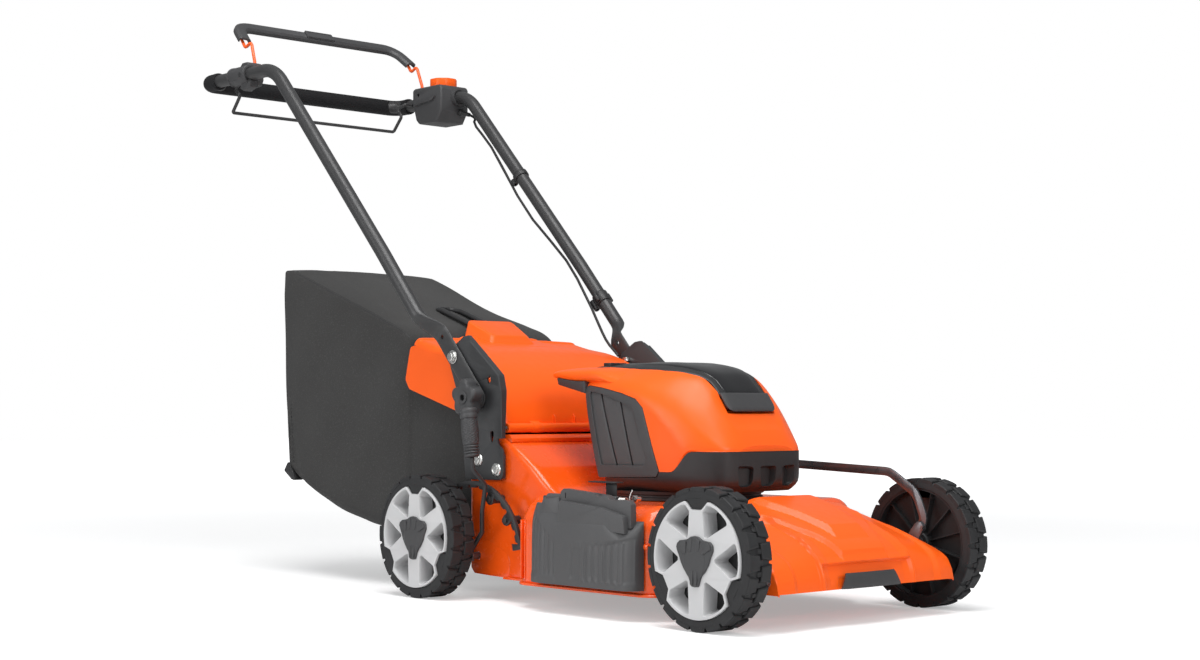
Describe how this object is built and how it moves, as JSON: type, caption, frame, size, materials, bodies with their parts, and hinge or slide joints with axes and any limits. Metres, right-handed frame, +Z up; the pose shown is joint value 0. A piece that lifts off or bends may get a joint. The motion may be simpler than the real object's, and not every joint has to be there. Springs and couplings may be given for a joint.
{
  "type": "cordless lawn mower",
  "caption": "Push lawn mower with battery under a flip-up lid, steel deck, folding tube handle with control bails, rear grass bag, side discharge flap and one-lever height adjustment.",
  "frame": {"origin": "on the ground under the middle of the mower's overall box", "axes": "+X forward towards the nose, +Y to the user's left, +Z up; the handle and grass bag are at -X"},
  "size_m": [1.5189, 0.5584, 1.0832],
  "materials": {
    "orange_plastic": "satin moulded plastic",
    "orange_paint": "gloss powder coat on pressed steel",
    "orange_wire": "powder coated steel wire",
    "grey_plastic": "fine textured moulded plastic",
    "black_plastic": "fine textured moulded plastic",
    "lid_plastic": "gloss moulded plastic",
    "tyre_rubber": "matte",
    "silver_plastic": "light grey satin plastic",
    "grey_coated_tube": "dark grey powder coat on steel tube",
    "coated_bracket": "black powder coat on pressed steel",
    "bare_steel": "plain steel",
    "zinc_plated_steel": "bright zinc plate",
    "coated_wire": "black powder coated steel wire",
    "foam_grip": "matte foam",
    "cable_sheath": "satin sheath",
    "bag_fabric": "woven polyester"
  },
  "bodies": {
    "deck": {"deck_shell": "orange_paint", "nose_cover": "orange_plastic", "bumper_pad": "grey_plastic", "motor_plinth": "black_plastic", "motor_base": "black_plastic", "motor_cover": "orange_plastic", "vent_panel_right": "grey_plastic", "vent_panel_left": "grey_plastic", "motor": "bare_steel", "battery_pack": "black_plastic", "handle_bracket_right": "coated_bracket", "handle_bracket_left": "coated_bracket", "handle_bolt_right": "zinc_plated_steel", "handle_bolt_left": "zinc_plated_steel", "height_quadrant": "black_plastic", "door_rod": "bare_steel", "flap_rod": "bare_steel"},
    "rear_crank": {"rear_axle": "bare_steel", "height_lever": "black_plastic", "lever_grip": "grey_plastic"},
    "front_crank": {"front_axle": "bare_steel"},
    "height_link": {"link_bar": "bare_steel"},
    "front_right_wheel": {"wheel_front_right": "tyre_rubber", "rim_front_right": "silver_plastic", "hub_cap_front_right": "grey_plastic"},
    "front_left_wheel": {"wheel_front_left": "tyre_rubber", "rim_front_left": "silver_plastic", "hub_cap_front_left": "grey_plastic"},
    "rear_right_wheel": {"wheel_rear_right": "tyre_rubber", "rim_rear_right": "silver_plastic", "hub_cap_rear_right": "grey_plastic"},
    "rear_left_wheel": {"wheel_rear_left": "tyre_rubber", "rim_rear_left": "silver_plastic", "hub_cap_rear_left": "grey_plastic"},
    "cutter": {"blade": "bare_steel", "blade_shaft": "bare_steel"},
    "handle": {"handle_tube_right": "grey_coated_tube", "handle_tube_left": "grey_coated_tube", "grip_tube": "grey_coated_tube", "grip_foam": "foam_grip", "housing_right": "grey_plastic", "control_box": "grey_plastic", "cable_boot": "black_plastic", "cable_upper": "cable_sheath"},
    "upper_bail": {"bail_wire": "orange_wire", "bail_cover": "grey_plastic"},
    "lower_bail": {"drive_bail": "coated_wire"},
    "dial": {"speed_dial": "orange_plastic"},
    "knob_right": {"star_knob_right": "grey_plastic"},
    "knob_left": {"star_knob_left": "grey_plastic"},
    "door": {"rear_door": "orange_plastic"},
    "flap": {"side_flap": "grey_plastic"},
    "lid": {"battery_lid": "lid_plastic", "lid_panel": "grey_plastic"},
    "bag": {"grass_bag": "bag_fabric", "bag_handle": "black_plastic"}
  },
  "joints": [
    {"name": "rear_height_pivot", "type": "hinge", "parent": "deck", "child": "rear_crank", "pos_m": [0.066, 0, 0.0705], "axis": [0, -1, 0], "range_deg": [-6, 34]},
    {"name": "front_height_pivot", "type": "hinge", "parent": "deck", "child": "front_crank", "pos_m": [0.725, 0, 0.0705], "axis": [0, -1, 0], "range_deg": [-6, 34]},
    {"name": "height_link_pivot", "type": "hinge", "parent": "front_crank", "child": "height_link", "pos_m": [0.675, 0.212, 0.129], "axis": [0, -1, 0], "range_deg": [-34, 6]},
    {"name": "front_right_wheel_spin", "type": "hinge", "parent": "front_crank", "child": "front_right_wheel", "pos_m": [0.657, -0.2484, 0.1025], "axis": [0, 1, 0], "continuous": true},
    {"name": "front_left_wheel_spin", "type": "hinge", "parent": "front_crank", "child": "front_left_wheel", "pos_m": [0.657, 0.2484, 0.1025], "axis": [0, 1, 0], "continuous": true},
    {"name": "rear_right_wheel_spin", "type": "hinge", "parent": "rear_crank", "child": "rear_right_wheel", "pos_m": [-0.002, -0.2484, 0.1025], "axis": [0, 1, 0], "continuous": true},
    {"name": "rear_left_wheel_spin", "type": "hinge", "parent": "rear_crank", "child": "rear_left_wheel", "pos_m": [-0.002, 0.2484, 0.1025], "axis": [0, 1, 0], "continuous": true},
    {"name": "blade_spin", "type": "hinge", "parent": "deck", "child": "cutter", "pos_m": [0.367, 0, 0.06], "axis": [0, 0, 1], "continuous": true},
    {"name": "handle_fold", "type": "hinge", "parent": "deck", "child": "handle", "pos_m": [0.016, 0, 0.402], "axis": [0, 1, 0], "range_deg": [0, 70]},
    {"name": "start_bail_pivot", "type": "hinge", "parent": "handle", "child": "upper_bail", "pos_m": [-0.612, 0, 0.966], "axis": [0, -1, 0], "range_deg": [0, 36], "stiffness_Nm_per_rad": 1.2, "springref_deg": -34.38},
    {"name": "drive_bail_pivot", "type": "hinge", "parent": "handle", "child": "lower_bail", "pos_m": [-0.673, 0, 0.955], "axis": [0, 1, 0], "range_deg": [0, 35], "stiffness_Nm_per_rad": 0.6, "springref_deg": -22.92},
    {"name": "speed_dial_turn", "type": "hinge", "parent": "handle", "child": "dial", "pos_m": [-0.588, 0.238, 0.985], "axis": [0, 0, 1], "range_deg": [0, 270]},
    {"name": "right_knob_turn", "type": "hinge", "parent": "deck", "child": "knob_right", "pos_m": [0.079, -0.225, 0.333], "axis": [0, 1, 0], "continuous": true},
    {"name": "left_knob_turn", "type": "hinge", "parent": "deck", "child": "knob_left", "pos_m": [0.079, 0.225, 0.333], "axis": [0, 1, 0], "continuous": true},
    {"name": "rear_door_hinge", "type": "hinge", "parent": "deck", "child": "door", "pos_m": [0.131, 0, 0.283], "axis": [0, 1, 0], "range_deg": [0, 45]},
    {"name": "side_flap_hinge", "type": "hinge", "parent": "deck", "child": "flap", "pos_m": [0.37, -0.229, 0.176], "axis": [-1, 0, 0], "range_deg": [0, 75], "stiffness_Nm_per_rad": 0.3, "springref_deg": -28.65},
    {"name": "battery_lid_hinge", "type": "hinge", "parent": "deck", "child": "lid", "pos_m": [0.262, 0, 0.384], "axis": [0, -1, 0], "range_deg": [0, 85]},
    {"name": "bag_slide", "type": "slide", "parent": "deck", "child": "bag", "axis": [-1, 0, 0], "range_m": [0, 0.25]}
  ],
  "couplings": [
    {"joint": "front_height_pivot", "follows": "rear_height_pivot", "ratio": 1},
    {"joint": "height_link_pivot", "follows": "rear_height_pivot", "ratio": -1}
  ]
}
